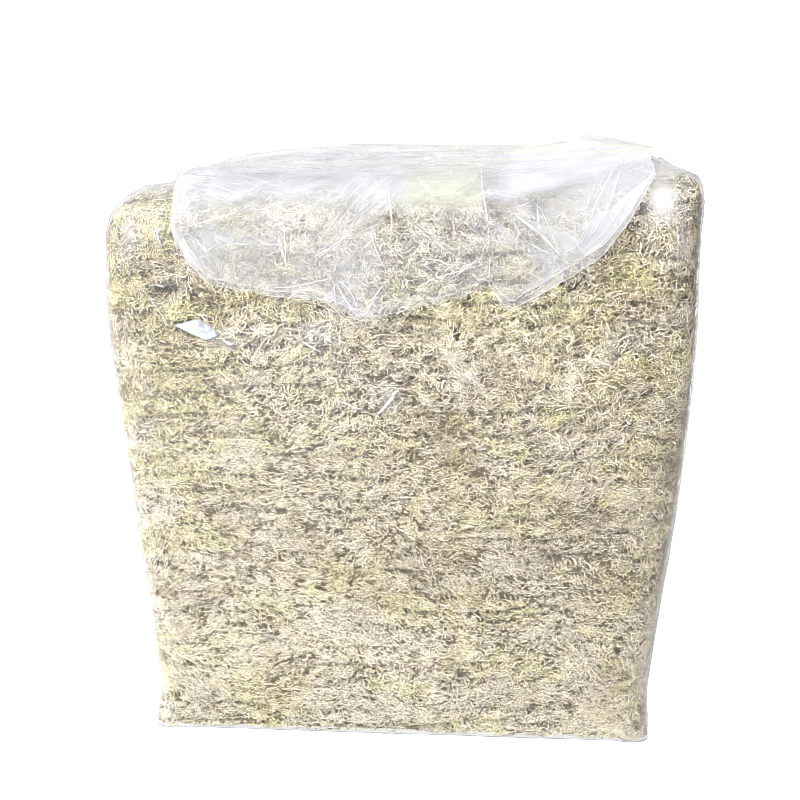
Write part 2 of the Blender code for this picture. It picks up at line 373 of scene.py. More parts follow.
def packed_fibres():
    """Node group: pressed fibres side by side. Gap is 0 between two and 1 on one; Tone is its own."""
    group, add, given, out = new_group(
        "Packed fibres", ("Wander", "Bends", "Along", "Across"), ("Gap", "Tone"))
    place = add("TexCoord", out="Object")
    bends = add("TexNoise", {"Vector": place, "Scale": given["Bends"], "Detail": 2.0}, "Color")
    centred = add("VectorMath", (bends, (0.5, 0.5, 0.5)), operation="SUBTRACT")
    shifted = add("VectorMath", {"Vector": centred, "Scale": given["Wander"]}, operation="SCALE")
    moved = add("VectorMath", (place, shifted))
    sizes = add("CombineXYZ", (given["Along"], given["Along"], given["Across"]))
    sized = {"Vector": add("VectorMath", (moved, sizes), operation="MULTIPLY"), "Scale": 1.0}
    edges = add("TexVoronoi", sized, "Distance", feature="DISTANCE_TO_EDGE")
    own = add("TexVoronoi", sized, "Color")
    fill(out, {"Gap": add("MapRange", (edges, 0.02, 0.22)), "Tone": add("SeparateColor", (own,))})
    return group


# The colours of the dried moss, from green by straw and cream to brown
MOSS_TONES = (
    (0.03, colour(214, 209, 157)),
    (0.18, colour(221, 208, 162)),
    (0.45, colour(225, 214, 183)),
    (0.72, colour(225, 213, 192)),
    (0.97, colour(214, 203, 186)),
)
HIGHLIGHT_STRAW = colour(244, 236, 214)  # painted highlight: the pale straw that a branch goes to where it would catch the light
SHADE_BROWN = colour(84, 63, 20)  # painted shade: the brown that the moss is darkened to between its branches
fibres = packed_fibres()
heart_finish, add, shader, _ = new_material("shaded_moss")
coarse = add("Group", (0.018, 52.0, 190.0, 1150.0), None, node_tree=fibres)
finer = add("Group", (0.022, 34.0, 260.0, 1600.0), None, node_tree=fibres)
lighter = maths(add, "MULTIPLY", coarse["Gap"], finer["Gap"])
place = add("TexCoord", out="Object")
patches = add("TexNoise", {"Vector": place, "Scale": 38.0, "Detail": 3.0}, "Fac")
mixed = add("Mix", {"Factor": 0.5, "A": patches, "B": coarse["Tone"]})
bare = noted(add, "bare")["X"]
# Painted shade: the tangle is darkened towards the shade brown by its fibre pattern, less where it is bare
darkest = maths(add, "MULTIPLY_ADD", bare, 0.30, 0.05)
lightest = maths(add, "MULTIPLY_ADD", bare, 0.44, 0.76)
shadow = add("MapRange", {"Value": lighter, "To Min": darkest, "To Max": lightest})
shaded = blend(add, shadow, SHADE_BROWN, ramp(add, mixed, MOSS_TONES))
relief = add("Bump", {"Strength": 0.9, "Distance": 0.0009, "Height": lighter})
fill(shader, {"Base Color": shaded, "Normal": relief, "Roughness": 0.95, "Specular IOR Level": 0.15})
heart.data.materials.append(heart_finish)
place_in_frame(heart, "moss_bale")


# The outer branches
# Dried moss branches, each a curled, tapered strand of tiny pressed leaves, 8 to 25 mm long. They
# lie in locks along the pressed layers, and curl more freely along the top and the bale's edges.

RIDGE_POINTS = 3  # a branch is keeled: two sides that meet in a ridge, and a point at each end
TUFT_SIZE = 8
EDGE_SHADE = 0.05  # painted light and shade: how bright a branch is painted along its edges, its ridge and at its ends
RIDGE_SHADE = 1.32
TIP_SHADE = 0.75
GRAIN_LENGTH = 0.0010  # of the tiny leaves along a branch
# In the tight layers, and how much more it is where the branches stand loose
BRANCH_LENGTH = (0.0066, 0.0050)
BRANCH_RADIUS = (0.00047, 0.00015)
BRANCH_DEPTH = (0.0014, 0.0042)
TUFT_SPREAD = (0.0034, 0.0019)  # how far a tuft's branches lie apart, along it and across it
DEEPEST = 0.0150
NEARLY_NONE = 1e-9

corner_sets = skin_points[np.array([face[:3] for face in skin_faces])]
other_sets = skin_points[np.array([face[[0, 2, 3]] for face in skin_faces])]
half_faces = np.concatenate((corner_sets, other_sets))
half_normals = np.concatenate((face_normals, face_normals))
crossed = np.cross(half_faces[:, 1] - half_faces[:, 0], half_faces[:, 2] - half_faces[:, 0])
half_areas = np.linalg.norm(crossed, axis=1) / 2
half_centres = half_faces.mean(axis=1)


def onto_bale(points):
    """Each point's nearest place on the bale's skin, and the way out there."""
    found = [skin_tree.find_nearest(point) for point in points.tolist()]
    places = np.array([hit[0][:] for hit in found])
    return places, face_normals[[hit[2] for hit in found]]


def lie_of(points):
    """The way the pressed layers run at each point, as an angle from level."""
    waves = soft_noise(points, 0.070, 4.9) - 0.5
    ripples = soft_noise(points, 0.024, 7.2) - 0.5
    swirls = soft_noise(points, 0.011, 3.9) - 0.5
    return 1.0 * waves + 1.1 * ripples + (0.8 + 1.6 * looseness(points)) * swirls


def lay_branches(name, count, rings, longer, chosen):
    """One piece of many branches on the chosen part of the skin."""
    tufts = count // TUFT_SIZE
    weight = half_areas * chosen
    picks = chance.choice(len(weight), tufts, p=weight / weight.sum())
    first, second = chance.random((2, tufts, 1))
    over = (first + second) > 1.0
    first, second = np.where(over, 1.0 - first, first), np.where(over, 1.0 - second, second)
    corners = half_faces[picks]
    middle = corners[:, 0] + first * (corners[:, 1] - corners[:, 0])
    middle += second * (corners[:, 2] - corners[:, 0])
    out = half_normals[picks]
    upright = np.where(np.abs(out[:, 2:]) > 0.8, (0.0, 1.0, 0.0), (0.0, 0.0, 1.0))
    level = unit(np.cross(upright, out))
    rising = np.cross(out, level)

    loose = looseness(middle)
    heading = lie_of(middle) + (0.42 + 0.36 * loose) * vary(tufts)
    curl = (140.0 + 60.0 * loose) * vary(tufts)
    deep = 0.0001 + (BRANCH_DEPTH[0] + BRANCH_DEPTH[1] * loose) * chance.random(tufts) ** 1.5
    hue = 0.70 * soft_noise(middle, (0.050, 0.050, 0.026), 1.1)
    hue += 0.75 * soft_noise(middle, 0.014, 9.4) + 0.130 * vary(tufts)
    hue += 0.10 * rise(middle[:, 0], -0.10, 0.25) - 0.25
    hue -= 0.40 * rise(soft_noise(middle, 0.012, 7.7), 0.78, 0.06)
    across, height = middle[:, 0], middle[:, 2]
    # Painted light: brighter on the left, towards the lamp, and low down; painted shade: darker at the
    # upper left, where the lamp lights the shoulder. They are also darker at the upper right and in a patch
    # under the neck's middle.
    shade = 1.06 - 0.08 * rise(across, -0.16, 0.34) - 0.03 * loose
    shade += 0.11 * fall(height, 0.160, 0.080)
    shade -= 0.06 * rise(across, 0.05, 0.10) * rise(height, 0.16, 0.06)
    shade -= 0.40 * fall(across, -0.07, 0.07) * rise(height, 0.16, 0.18)
    shade *= 1.0 - 0.11 * mound(across, height, 0.04, 0.29, 0.075, 0.09)
    shade *= 1.0 - 0.20 * rise(soft_noise(middle, 0.034, 2.9), 0.45, 0.3)
    shade *= 1.0 - 0.17 * rise(soft_noise(middle, 0.080, 5.8), 0.40, 0.3)
    shade *= 1.0 + (0.045 + 0.05 * loose) * vary(tufts)
    # Painted shade: branches near the grooves between the layers are painted darker
    shade *= 1.0 - 70.0 * groove_depth(middle)

    def each(values):
        return np.repeat(values, TUFT_SIZE, axis=0)

    total = tufts * TUFT_SIZE
    middle, level, rising, loose = each(middle), each(level), each(rising), each(loose)
    heading, curl = each(heading), each(curl)
    aside = vary((2, total))
    along, across = TUFT_SPREAD[0] * aside[0], TUFT_SPREAD[1] * aside[1]
    middle = middle + level * (along * np.cos(heading) - across * np.sin(heading))[:, None]
    middle = middle + rising * (along * np.sin(heading) + across * np.cos(heading))[:, None]
    heading = heading + 0.38 * vary(total)
    curl = curl + 110.0 * vary(total)
    deep = each(deep) + 0.0006 * vary(total)
    hue = each(hue) + 0.035 * vary(total)
    shade = each(shade) * (1.0 + 0.22 * vary(total))
    # Painted shade: the deeper a branch lies, the darker it is painted
    shade *= 1.12 - 0.66 * np.clip(deep / 0.0040, 0.0, 1.0)
    length = longer * (BRANCH_LENGTH[0] + BRANCH_LENGTH[1] * loose)
    length *= np.exp(0.32 * vary(total))
    radius = BRANCH_RADIUS[0] + BRANCH_RADIUS[1] * loose
    radius *= np.exp(0.24 * vary(total))
    radius *= 1.0 + 0.10 * fall(middle[:, 2], 0.200, 0.150)
    tilt = (0.0008 + 0.0008 * loose) * vary(total)
    arch = (0.0007 + 0.0009 * loose) * vary(total)

    steps = rings + 2
    spots = np.linspace(-0.5, 0.5, steps)
    stride = length / (steps - 1)
    between = (spots[1:] + spots[:-1]) / 2
    turn = heading[:, None] + (curl * length)[:, None] * between
    turn += 0.58 * vary((total, steps - 1))
    moves = np.stack((np.cos(turn), np.sin(turn)), axis=2) * stride[:, None, None]
    path = np.concatenate((np.zeros((total, 1, 2)), np.cumsum(moves, axis=1)), axis=1)
    path -= path.mean(axis=1)[:, None]
    places = middle[:, None] + path[:, :, :1] * level[:, None] + path[:, :, 1:] * rising[:, None]
    places, outs = onto_bale(places.reshape(-1, 3))
    sunk = groove_depth(places) + hollow_depth(places)
    sunk = sunk.reshape(total, steps) + deep[:, None] + 2.0 * tilt[:, None] * spots
    sunk += arch[:, None] * (4.0 * spots * spots - 0.4)
    sunk *= fullness(outs).reshape(total, steps)
    sunk = np.clip(sunk, radius[:, None] - 0.0004, DEEPEST)
    outs = outs.reshape(total, steps, 3)
    places = places.reshape(total, steps, 3) - outs * sunk[:, :, None]

    run = unit(places[:, 2:] - places[:, :-2], NEARLY_NONE)
    side = unit(np.cross(outs[:, 1:-1], run), NEARLY_NONE)
    lift = np.cross(run, side)
    taper = (1.0 - 1.2 * spots[1:-1] ** 2)[None, :, None]
    thick = radius[:, None, None] * (taper * (1.0 + 0.24 * vary((total, rings, 1))))
    ring_points = [places[:, 1:-1] + thick * way for way in (side, lift * 0.75, -side)]
    around = np.stack(ring_points, axis=2).reshape(total, rings * RIDGE_POINTS, 3)
    points = np.concatenate((places[:, :1], around, places[:, -1:]), axis=1)
    per_branch = points.shape[1]

    faces = []
    last = per_branch - 1
    for corner in range(RIDGE_POINTS - 1):
        after = corner + 1
        faces.append((0, 1 + after, 1 + corner))
        for ring in range(rings - 1):
            low, high = 1 + ring * RIDGE_POINTS, 1 + (ring + 1) * RIDGE_POINTS
            faces.append((low + corner, low + after, high + after))
            faces.append((low + corner, high + after, high + corner))
        high = 1 + (rings - 1) * RIDGE_POINTS
        faces.append((high + corner, high + after, last))
    starts = np.arange(total) * per_branch
    rows = (starts[:, None, None] + np.array(faces)).reshape(-1, 3)
    piece = piece_from(name, points.reshape(-1, 3), rows)

    # Painted shade: a branch's ends are painted darker
    over_branch = [TIP_SHADE] + [1.0] * RIDGE_POINTS * rings + [TIP_SHADE]
    look = np.zeros((total, per_branch, 3))
    look[:, :, 0] = np.clip(hue, 0.0, 1.0)[:, None]
    look[:, :, 1] = np.clip(shade, 0.25, 1.35)[:, None] * np.array(over_branch)
    at = np.concatenate((spots[:1], np.repeat(spots[1:-1], RIDGE_POINTS), spots[-1:]))
    way = np.zeros((total, per_branch, 3))
    way[:, :, 0] = length[:, None] / GRAIN_LENGTH * at
    way[:, :, 1] = [0.0] + [-0.8, 0.0, 0.8] * rings + [0.0]
    way[:, :, 2] = 90.0 * chance.random((total, 1))
    note(piece, "branch", look)
    note(piece, "way", way)
    return piece


branch_finish, add, shader, _ = new_material("dried_moss")
branch = noted(add, "branch")
way = add("Attribute", out="Vector", attribute_name="way")
fine = add("TexNoise", {"Vector": way, "Scale": 1.0, "Detail": 1.0}, "Fac")
mottled = add("MapRange", (fine, 0.40, 0.60, 0.30, 1.45))
off_ridge = maths(add, "ABSOLUTE", add("SeparateXYZ", (way,), "Y"))
# Painted light and shade across each branch: bright along its ridge, dark at its edges
sides = add("MapRange", (off_ridge, 0.28, 0.74, RIDGE_SHADE, EDGE_SHADE))
lit = maths(add, "MULTIPLY", maths(add, "MULTIPLY", branch["Y"], mottled), sides)
shaded = blend(add, lit, SHADE_BROWN, ramp(add, branch["X"], MOSS_TONES))
# Painted highlight: the brightest branches go over to a pale straw
highlighted = blend(add, add("MapRange", (lit, 1.0, 1.9)), shaded, HIGHLIGHT_STRAW)
relief = add("Bump", {"Strength": 0.5, "Distance": 0.0004, "Height": fine})
fill(shader, {"Base Color": highlighted, "Normal": relief, "Roughness": 0.85, "Specular IOR Level": 0.12})

facing = np.abs(half_normals).argmax(axis=1)
left, front, underside = ((facing == axis) & (half_normals[:, axis] < 0) for axis in range(3))
right, back, top = ((facing == axis) & (half_normals[:, axis] > 0) for axis in range(3))
height = half_centres[:, 2]
loose_front = looseness(half_centres) ** 3
lower, upper = front & (height < 0.150), front & (height >= 0.292)
middle = front & (height >= 0.150) & (height < 0.292)
# The branches of each piece: how many, how many rings each has, how long and where
BRANCHES = (
    ("moss_front_lower", 16000, 2, 0.90, lower * (1 + 2.5 * (height < 0.010))),
    ("moss_front_middle", 16000, 2, 0.90, middle),
    ("moss_front_upper", 13600, 3, 1.00, upper),
    ("moss_front_crumbs", 46000, 1, 0.62, front),
    ("moss_front_tufts", 3520, 5, 1.6, front * loose_front),
    ("moss_back", 15000, 1, 1.0, back),
    ("moss_left", 10000, 1, 1.0, left),
    ("moss_right", 10000, 1, 1.0, right),
    ("moss_top", 5500, 2, 1.1, top),
    ("moss_underside", 1000, 2, 1.3, underside),
)
for name, count, rings, longer, chosen in BRANCHES:
    piece = lay_branches(name, count, rings, longer, chosen)
    piece.data.materials.append(branch_finish)
    place_in_frame(piece, "moss_bale")


# The bag's body
# Clear blown film a tenth of a millimetre thick, pulled tight round the moss. It is one skin with
# shallow slack folds. Its top lies loose, and its welded foot corners stick out like ears.

FILM_GROW = 0.0022  # from the even form to the film
FILM_RADII = (0.026, 0.034, 0.004)
FILM_CELLS = (60, 36, 64)
HEADROOM = 0.0020  # how far the slack top stands off the moss
SLACK = 0.0003  # and the sides

film_cells, film_faces = cube_cells(FILM_CELLS)
film_form = even_form(film_cells, FILM_GROW, FILM_RADII)
x, y, z = film_form.T
across, along = x / HALF_WIDTH[1], y / HALF_DEPTH[1]
loose = soft_noise(film_form, 0.060, 4.4)
above = rise(z, BALE_TOP - FILM_RADII[1], FILM_RADII[1])
above *= film_cells[:, 2] > 0
z += HEADROOM * above * (0.35 + 0.65 * loose) * (1 - 0.5 * across * across)
slack = SLACK * loose * smooth_step(z / FULL_FOOT)
x += np.sign(across) * slack * np.abs(across) ** 3
y += np.sign(along) * slack * np.abs(along) ** 3
film_form = settled(film_form) + CENTRE


def sharp_folds(points, size, shift, thin):
    """1 along wandering lines and 0 between them, as the folds of slack film run."""
    return np.clip(1.0 - np.abs(soft_noise(points, size, shift) - 0.5) / thin, 0.0, 1.0)


film_ways, _ = outward(film_form, film_faces)
puffed = 0.0006 * soft_noise(film_form, 0.022, 2.7)
puffed += 0.0009 * sharp_folds(film_form, (0.050, 0.050, 0.090), 6.1, 0.05)
puffed += 0.0018 * above * sharp_folds(film_form, 0.055, 3.3, 0.07)
puffed *= smooth_step(film_form[:, 2] / 0.010) * (1.0 - 0.7 * film_ways[:, 0] ** 2)
film_points = film_form + film_ways * puffed[:, None]
bag_film = piece_from("bag_film", film_points, film_faces)


def film_wrinkles():
    """Node group: crumpled film's flat facets. Height of the relief, their white ridges, their tone."""
    group, add, given, out = new_group("Film wrinkles", ("Scale",), ("Height", "Ridge", "Facet"))
    place = add("TexCoord", out="Object")
    cells = {"Vector": place, "Scale": given["Scale"]}
    edges = add("TexVoronoi", cells, "Distance", feature="DISTANCE_TO_EDGE")
    patches = add("TexNoise", {"Vector": place, "Scale": 16.0, "Detail": 2.0}, "Fac")
    thin = add("MapRange", (edges, 0.0, 0.030, 1.0, 0.0))
    ridge = maths(add, "MULTIPLY", thin, add("MapRange", (patches, 0.46, 0.60)))
    facet = add("SeparateColor", (add("TexVoronoi", cells, "Color"),))
    fill(out, {"Height": edges, "Ridge": ridge, "Facet": facet})
    return group


wrinkle_group = film_wrinkles()
MILK_TONE = (0.46, 0.465, 0.495, 1.0)
GREEN_TONE = (0.53, 0.545, 0.470, 1.0)
CLEAR_TONE = (0.968, 0.974, 0.976, 1.0)  # what the film lets through, and the same for its shadow
SHADOW_TONE = (0.90, 0.91, 0.92, 1.0)
MIRROR_TONE = (0.93, 0.95, 0.98, 1.0)
MOST_MILK = 0.88


def film_finish(name, haze, wrinkle_scale, ridges):
    """Clear film: it passes most light, mirrors some by its slope, and is milky where it is folded.

    The point attribute "milk" holds how white it is, from its milkiness and from painted glare, and how
    much green it takes from the moss.
    """
    material, add, milk, output = new_material(name)
    kinds = noted(add, "milk")
    wrinkles = add("Group", (wrinkle_scale,), None, node_tree=wrinkle_group)
    uneven = maths(add, "MULTIPLY_ADD", wrinkles["Facet"], 0.5, 0.75)
    white = maths(add, "MULTIPLY", maths(add, "ADD", kinds["X"], haze), uneven)
    white = maths(add, "MULTIPLY_ADD", wrinkles["Ridge"], ridges, white)
    relief = add("Bump", {"Strength": 0.8, "Distance": 0.0030, "Height": wrinkles["Height"]})

    slope = add("LayerWeight", {"Blend": 0.5, "Normal": relief}, "Facing")
    one_face = maths(add, "MULTIPLY_ADD", maths(add, "POWER", slope, 5.0), 0.97, 0.020)
    doubled, more = maths(add, "MULTIPLY", one_face, 2.0), maths(add, "ADD", one_face, 1.0)
    gloss = add("BsdfPrincipled", {
        "Base Color": MIRROR_TONE, "Metallic": 1.0, "Roughness": 0.10, "Normal": relief})
    clear = add("BsdfTransparent", (CLEAR_TONE,))
    mirrored = add("MixShader", (maths(add, "DIVIDE", doubled, more), clear, gloss))
    fill(milk, {"Base Color": blend(add, kinds["Y"], MILK_TONE, GREEN_TONE), "Roughness": 0.45})
    whole = add("MixShader", (maths(add, "MINIMUM", white, MOST_MILK), mirrored, milk.outputs["BSDF"]))
    in_shadow = add("LightPath", out="Is Shadow Ray")
    passing = add("MixShader", (in_shadow, whole, add("BsdfTransparent", (SHADOW_TONE,))))
    fill(output, {"Surface": passing})
    return material


def note_milk(piece, film_whiteness, green):
    """Keeps how white the film is at each point, from milk and from painted glare, and how green, for its
    finish to use.
    """
    note(piece, "milk", np.stack((np.clip(film_whiteness, 0.0, 1.0), green, green * 0.0), axis=1))


# Painted glare: white spots on the film where it would mirror the lamps. Across, height, half width and
# half height in millimetres, and how much
GLARES = (
    (174, 437, 8, 11, 0.80),
    (190, 408, 4, 12, 0.30),
    (-188, 410, 6, 13, 0.32),
    (-167, 413, 4.5, 12, 0.25),
    (-123, 336, 6, 5, 0.25),
    (-9, 294, 7, 7, 0.32),
    (-60, 344, 15, 6, 0.22),
)
in_front = film_ways[:, 1] < -0.3
film_across, film_up = film_points[:, 0], film_points[:, 2]
shoulders = rise(film_up, 0.385, 0.040)
film_whiteness = 0.008 + 0.03 * rise(film_across, 0.176, 0.020)
film_whiteness += 0.02 * fall(film_across, -0.180, 0.015)
left_half = fall(film_across, -0.008, 0.010)
film_whiteness += 0.03 * left_half * in_front * rise(film_up, 0.160, 0.060)
# Whiter at the shoulders and on the top: partly milky film, partly painted glare where it faces the bright
# surround
film_whiteness += 0.06 * shoulders * rise(np.abs(film_across), 0.150, 0.030)
film_whiteness += 0.07 * shoulders * (film_ways[:, 2] > 0.5)
film_whiteness += 0.06 * (1 - smooth_step(film_up / 0.012))
# Painted glare at the listed spots
for *spot, amount in GLARES:
    film_whiteness += amount * mound(film_across, film_up, *np.array(spot) / 1000) * (film_points[:, 1] < 0.0)
note_milk(bag_film, film_whiteness, 0.25 * shoulders)
bag_film.data.materials.append(film_finish("clear_film", 0.006, 17.0, 0.06))
place_in_frame(bag_film, "bag")


# The bag's neck
# The open end of the same film tube, pressed flat into two layers. It rises near the back, is folded
# forward over the whole top, turns over the front edge and hangs there with its mouth cut ragged.

LEAD_IN = 0.0240
FOLD_CENTRE = np.array((0.0900, 0.4475))  # (y, z), as the other places of its side view
FOLD_RADIUS = 0.0080
TURN_CENTRE = np.array((-0.0940, 0.4115))
TURN_RADIUS = 0.0370
BACK_SPREAD = 0.185
BACK_OFFSET = 0.0050
EDGE_DROOP = 0.0140
LAYER_GAP = 0.0017  # from the middle to either layer
NECK_COLUMNS = 120
NECK_ROWS = 104
FACETS = 150  # flat facets that the crumpled film has
FACET_SIZE = 0.030
FACET_TILT = 0.07
RAGGED = 0.0022  # how far the mouth's edge wanders
LIP = (0.0035, 0.0055)  # how much shorter the outer layer is, and by how much that varies
FREE_AFTER = 0.0400  # how far after the weld the layers hang free
# The mouth's cut edge in millimetres, across and up
MOUTH = np.array((
    (-155, 419), (-153, 410), (-145, 395), (-129, 379), (-108, 374),
    (-84, 372), (-65, 371), (-50, 367), (-27, 354), (-12, 358.5),
    (15, 366), (40, 372.5), (60, 380), (66, 374.5), (77, 361),
    (82, 368), (100, 377), (122, 387), (139, 398), (154, 416),
    (163, 431), (171, 446))) / 1000

# On the flat neck, the film lies doubled from inside the top down to this line, across and along it
VEIL_EDGE = np.array((
    (-170, 277), (-125, 267), (-98.5, 257), (-85, 256), (-60, 262),
    (-4, 262), (4, 272), (54, 272), (55, 257), (62, 257),
    (100, 249), (125, 238), (170, 228))) / 1000
# How milky the rest of the neck is, from left to right
HAZES = np.array((
    (-0.160, 0.23), (-0.032, 0.13), (-0.008, 0.01), (0.085, 0.06), (0.105, 0.26),
    (0.130, 0.42), (0.170, 0.42)))
# Sets of soft white streaks on the neck: their middle, how far they spread, the angle that they run
# at and how white they are
STREAKS = (
    ((-0.0450, 0.2600), (0.0450, 0.0350), -0.85, 0.22),
    ((0.0850, 0.2720), (0.0300, 0.0220), 0.60, 0.26),
    ((0.0250, 0.2850), (0.0300, 0.0150), 0.75, 0.08),
    ((-0.1350, 0.2850), (0.0200, 0.0160), 0.90, 0.26),
    ((-0.1150, 0.2800), (0.0220, 0.0070), 0.05, 0.30),
)


def neck_line(travel):
    """The neck's middle line in side view so far along, the way out there, and where it hangs."""
    fold = FOLD_RADIUS * math.pi / 2
    start = FOLD_CENTRE + (0.0, FOLD_RADIUS)
    finish = TURN_CENTRE + (0.0, TURN_RADIUS)
    run = np.linalg.norm(finish - start)
    turn = TURN_RADIUS * math.pi / 2
    on_fold = np.clip((travel - LEAD_IN) / fold, 0.0, 1.0) * math.pi / 2
    on_run = np.clip((travel - LEAD_IN - fold) / run, 0.0, 1.0)
    on_turn = np.clip((travel - LEAD_IN - fold - run) / turn, 0.0, 1.0) * math.pi / 2
    hanging = np.maximum(travel - LEAD_IN - fold - run - turn, 0.0)
    folded = FOLD_CENTRE + FOLD_RADIUS * np.stack((np.cos(on_fold), np.sin(on_fold)), axis=1)
    folded[:, 1] += np.minimum(travel - LEAD_IN, 0.0)
    angle = math.pi / 2 + on_turn
    turned = TURN_CENTRE + TURN_RADIUS * np.stack((np.cos(angle), np.sin(angle)), axis=1)
    turned[:, 1] -= hanging
    running = start + (finish - start) * on_run[:, None]
    place = np.where((travel < LEAD_IN + fold)[:, None], folded, running)
    place = np.where((travel > LEAD_IN + fold + run)[:, None], turned, place)
    way = np.where(travel < LEAD_IN + fold, on_fold, angle)
    return place, np.stack((np.cos(way), np.sin(way)), axis=1), LEAD_IN + fold + run + turn


_, _, before_hang = neck_line(np.array((0.0,)))
facet_seeds = chance.random((FACETS, 2)) * (0.36, 0.40) - (0.18, 0.02)
facet_tilts = FACET_TILT * vary((FACETS, 2))


def crumpled(flat):
    """Height of crumpled film over the flat: tilted facets that meet in straight ridges."""
    away = np.linalg.norm((flat[:, None] - facet_seeds[None]) * (1.0, 0.7), axis=2)
    nearest = np.argsort(away, axis=1)[:, :2]
    first, second = np.take_along_axis(away, nearest, axis=1).T
    roof = np.clip((second - first) / FACET_SIZE * 2, 0.0, 1.0)
    tilted = ((flat - facet_seeds[nearest[:, 0]]) * facet_tilts[nearest[:, 0]]).sum(axis=1)
    return roof * (0.0013 + np.clip(tilted, -0.0010, 0.0016))


def neck_surface(flat, side, gap, lift):
    """Places of the flat neck, across and along, on its bent layer. Side is 1 outside, -1 inside."""
    wide, travel = flat.T
    place, way, _ = neck_line(travel)
    spots = np.stack((wide, travel, 0.030 * side), axis=1)
    free = rise(travel, LEAD_IN, FREE_AFTER)
    sway = 0.0030 * soft_noise(spots * (1, 1, 0), (0.045, 0.090, 1.0), 4.0)
    slack = side * LAYER_GAP * gap + 0.0008 * (soft_noise(spots, 0.018, 1.7) - 0.5)
    slack += crumpled(flat + 0.011 * (side[:, None] < 0))
    hidden = (1 - free) * side * gap * LAYER_GAP
    bent = place + way * (free * (sway + slack) + hidden + lift)[:, None]
    backward = np.clip((bent[:, 0] - TURN_CENTRE[0]) / (FOLD_CENTRE[0] - TURN_CENTRE[0]), 0.0, 1.0)
    droop = EDGE_DROOP * backward * rise(np.abs(wide) / MOUTH[-1, 0], 0.7, 0.3)
    spread = wide + backward * (wide * BACK_SPREAD + BACK_OFFSET)
    return settled(np.stack((spread, bent[:, 0], bent[:, 1] - droop), axis=1)) + CENTRE


share = np.linspace(0.0, 1.0, NECK_COLUMNS)
share = 0.5 - 0.5 * np.cos(math.pi * share) * (0.35 + 0.65 * np.abs(np.cos(math.pi * share)) ** 0.4)
share = (share - share[0]) / (share[-1] - share[0])
across = MOUTH[0, 0] + (MOUTH[-1, 0] - MOUTH[0, 0]) * share
loop = np.concatenate((np.arange(NECK_COLUMNS), np.arange(NECK_COLUMNS - 2, 0, -1)))
layer = np.concatenate((np.ones(NECK_COLUMNS), -np.ones(NECK_COLUMNS - 2)))
open_by = np.sqrt(np.clip(1.0 - np.abs(2 * share - 1) ** 10, 0.0, 1.0))
ragged = np.stack((across, across * 0.0, across * 0.0), axis=1)
mouth = np.interp(across, MOUTH[:, 0], MOUTH[:, 1])
mouth += RAGGED * (soft_noise(ragged, 0.007, 4.2) - 0.5)
mouth = before_hang + TURN_CENTRE[1] - mouth
lip = (LIP[0] + LIP[1] * soft_noise(ragged, 0.030, 9.9)) * open_by
mouths = mouth[loop] - np.where(layer > 0, lip[loop], 0.0)
rows = np.linspace(0.0, 1.0, NECK_ROWS)
travel = (rows[:, None] * mouths[None, :]).ravel()
flat = np.stack((np.tile(across[loop], NECK_ROWS), travel), axis=1)
side = np.tile(layer, NECK_ROWS)
neck_points = neck_surface(flat, side, np.tile(open_by[loop], NECK_ROWS), 0.0)
ring = np.arange(len(loop))
corners = np.stack((ring, (ring + 1) % len(loop)), axis=1)
steps = np.arange(NECK_ROWS - 1)[:, None] * len(loop)
neck_faces = np.stack((
    steps + corners[:, 0], steps + len(loop) + corners[:, 0],
    steps + len(loop) + corners[:, 1], steps + corners[:, 1]), axis=2).reshape(-1, 4)
neck = piece_from("bag_neck", neck_points, neck_faces)

wide = flat[:, 0]
middle_zone = rise(wide, -0.008, 0.020) * fall(wide, 0.056, 0.003)
film_whiteness = np.interp(wide, *HAZES.T)
veil = smooth_step((np.interp(wide, *VEIL_EDGE.T) - travel) / (0.012 + 0.020 * middle_zone))
veiled = 0.30 + 0.42 * rise(wide, 0.060, 0.020)
film_whiteness += (veiled - film_whiteness) * veil * (1.0 - 0.20 * middle_zone)
for middle_place, spread, angle, amount in STREAKS:
    away = (((flat - middle_place) / spread) ** 2).sum(axis=1)
    run = flat @ ((math.cos(angle), -math.sin(angle)), (math.sin(angle), math.cos(angle)))
    drawn = soft_noise(np.column_stack((run, side)), (0.0300, 0.0050, 1.0), 8.8)
    film_whiteness += amount * np.exp(-away) * rise(drawn, 0.46, 0.20)
left_out = np.tile(mouths, NECK_ROWS) - travel
film_whiteness += 0.12 * np.clip(1.5 - left_out / 0.005, 0.0, 1.0) * (wide < 0.110)
film_whiteness *= 0.75 + 0.5 * soft_noise(np.stack((*flat.T, 0.1 * side), axis=1), 0.020, 6.5)
from_back = fall(travel, 0.215, 0.060) * rise(travel, 0.030, 0.030)
streaks = soft_noise(np.stack((*flat.T, side), axis=1), (0.110, 0.018, 1.0), 5.1)
green = from_back * rise(streaks, 0.45, 0.2)
green = np.maximum(green, middle_zone * fall(travel, 0.270, 0.02))
note_milk(neck, film_whiteness, green)
neck.data.materials.append(film_finish("neck_film", 0.0, 30.0, 0.14))
place_in_frame(neck, "bag")


# The film's pinched folds
# Where the same film is pinched into a standing fold or cut off, it is doubled and shows as a fine
# white line. Each is a low ridge with two sloping sides, tapered out at its ends.

FOLD_STEPS = 14
FOLD_LIFT = 0.0002  # of a fold's foot off the film
HIGHEST_FOLD = 0.0006
WHITE_FOLD = 0.0005  # from this half width on, a fold is white
MOST_WHITE = 0.9
EDGE_STEPS = 5  # columns of the neck in one stretch of its cut edge
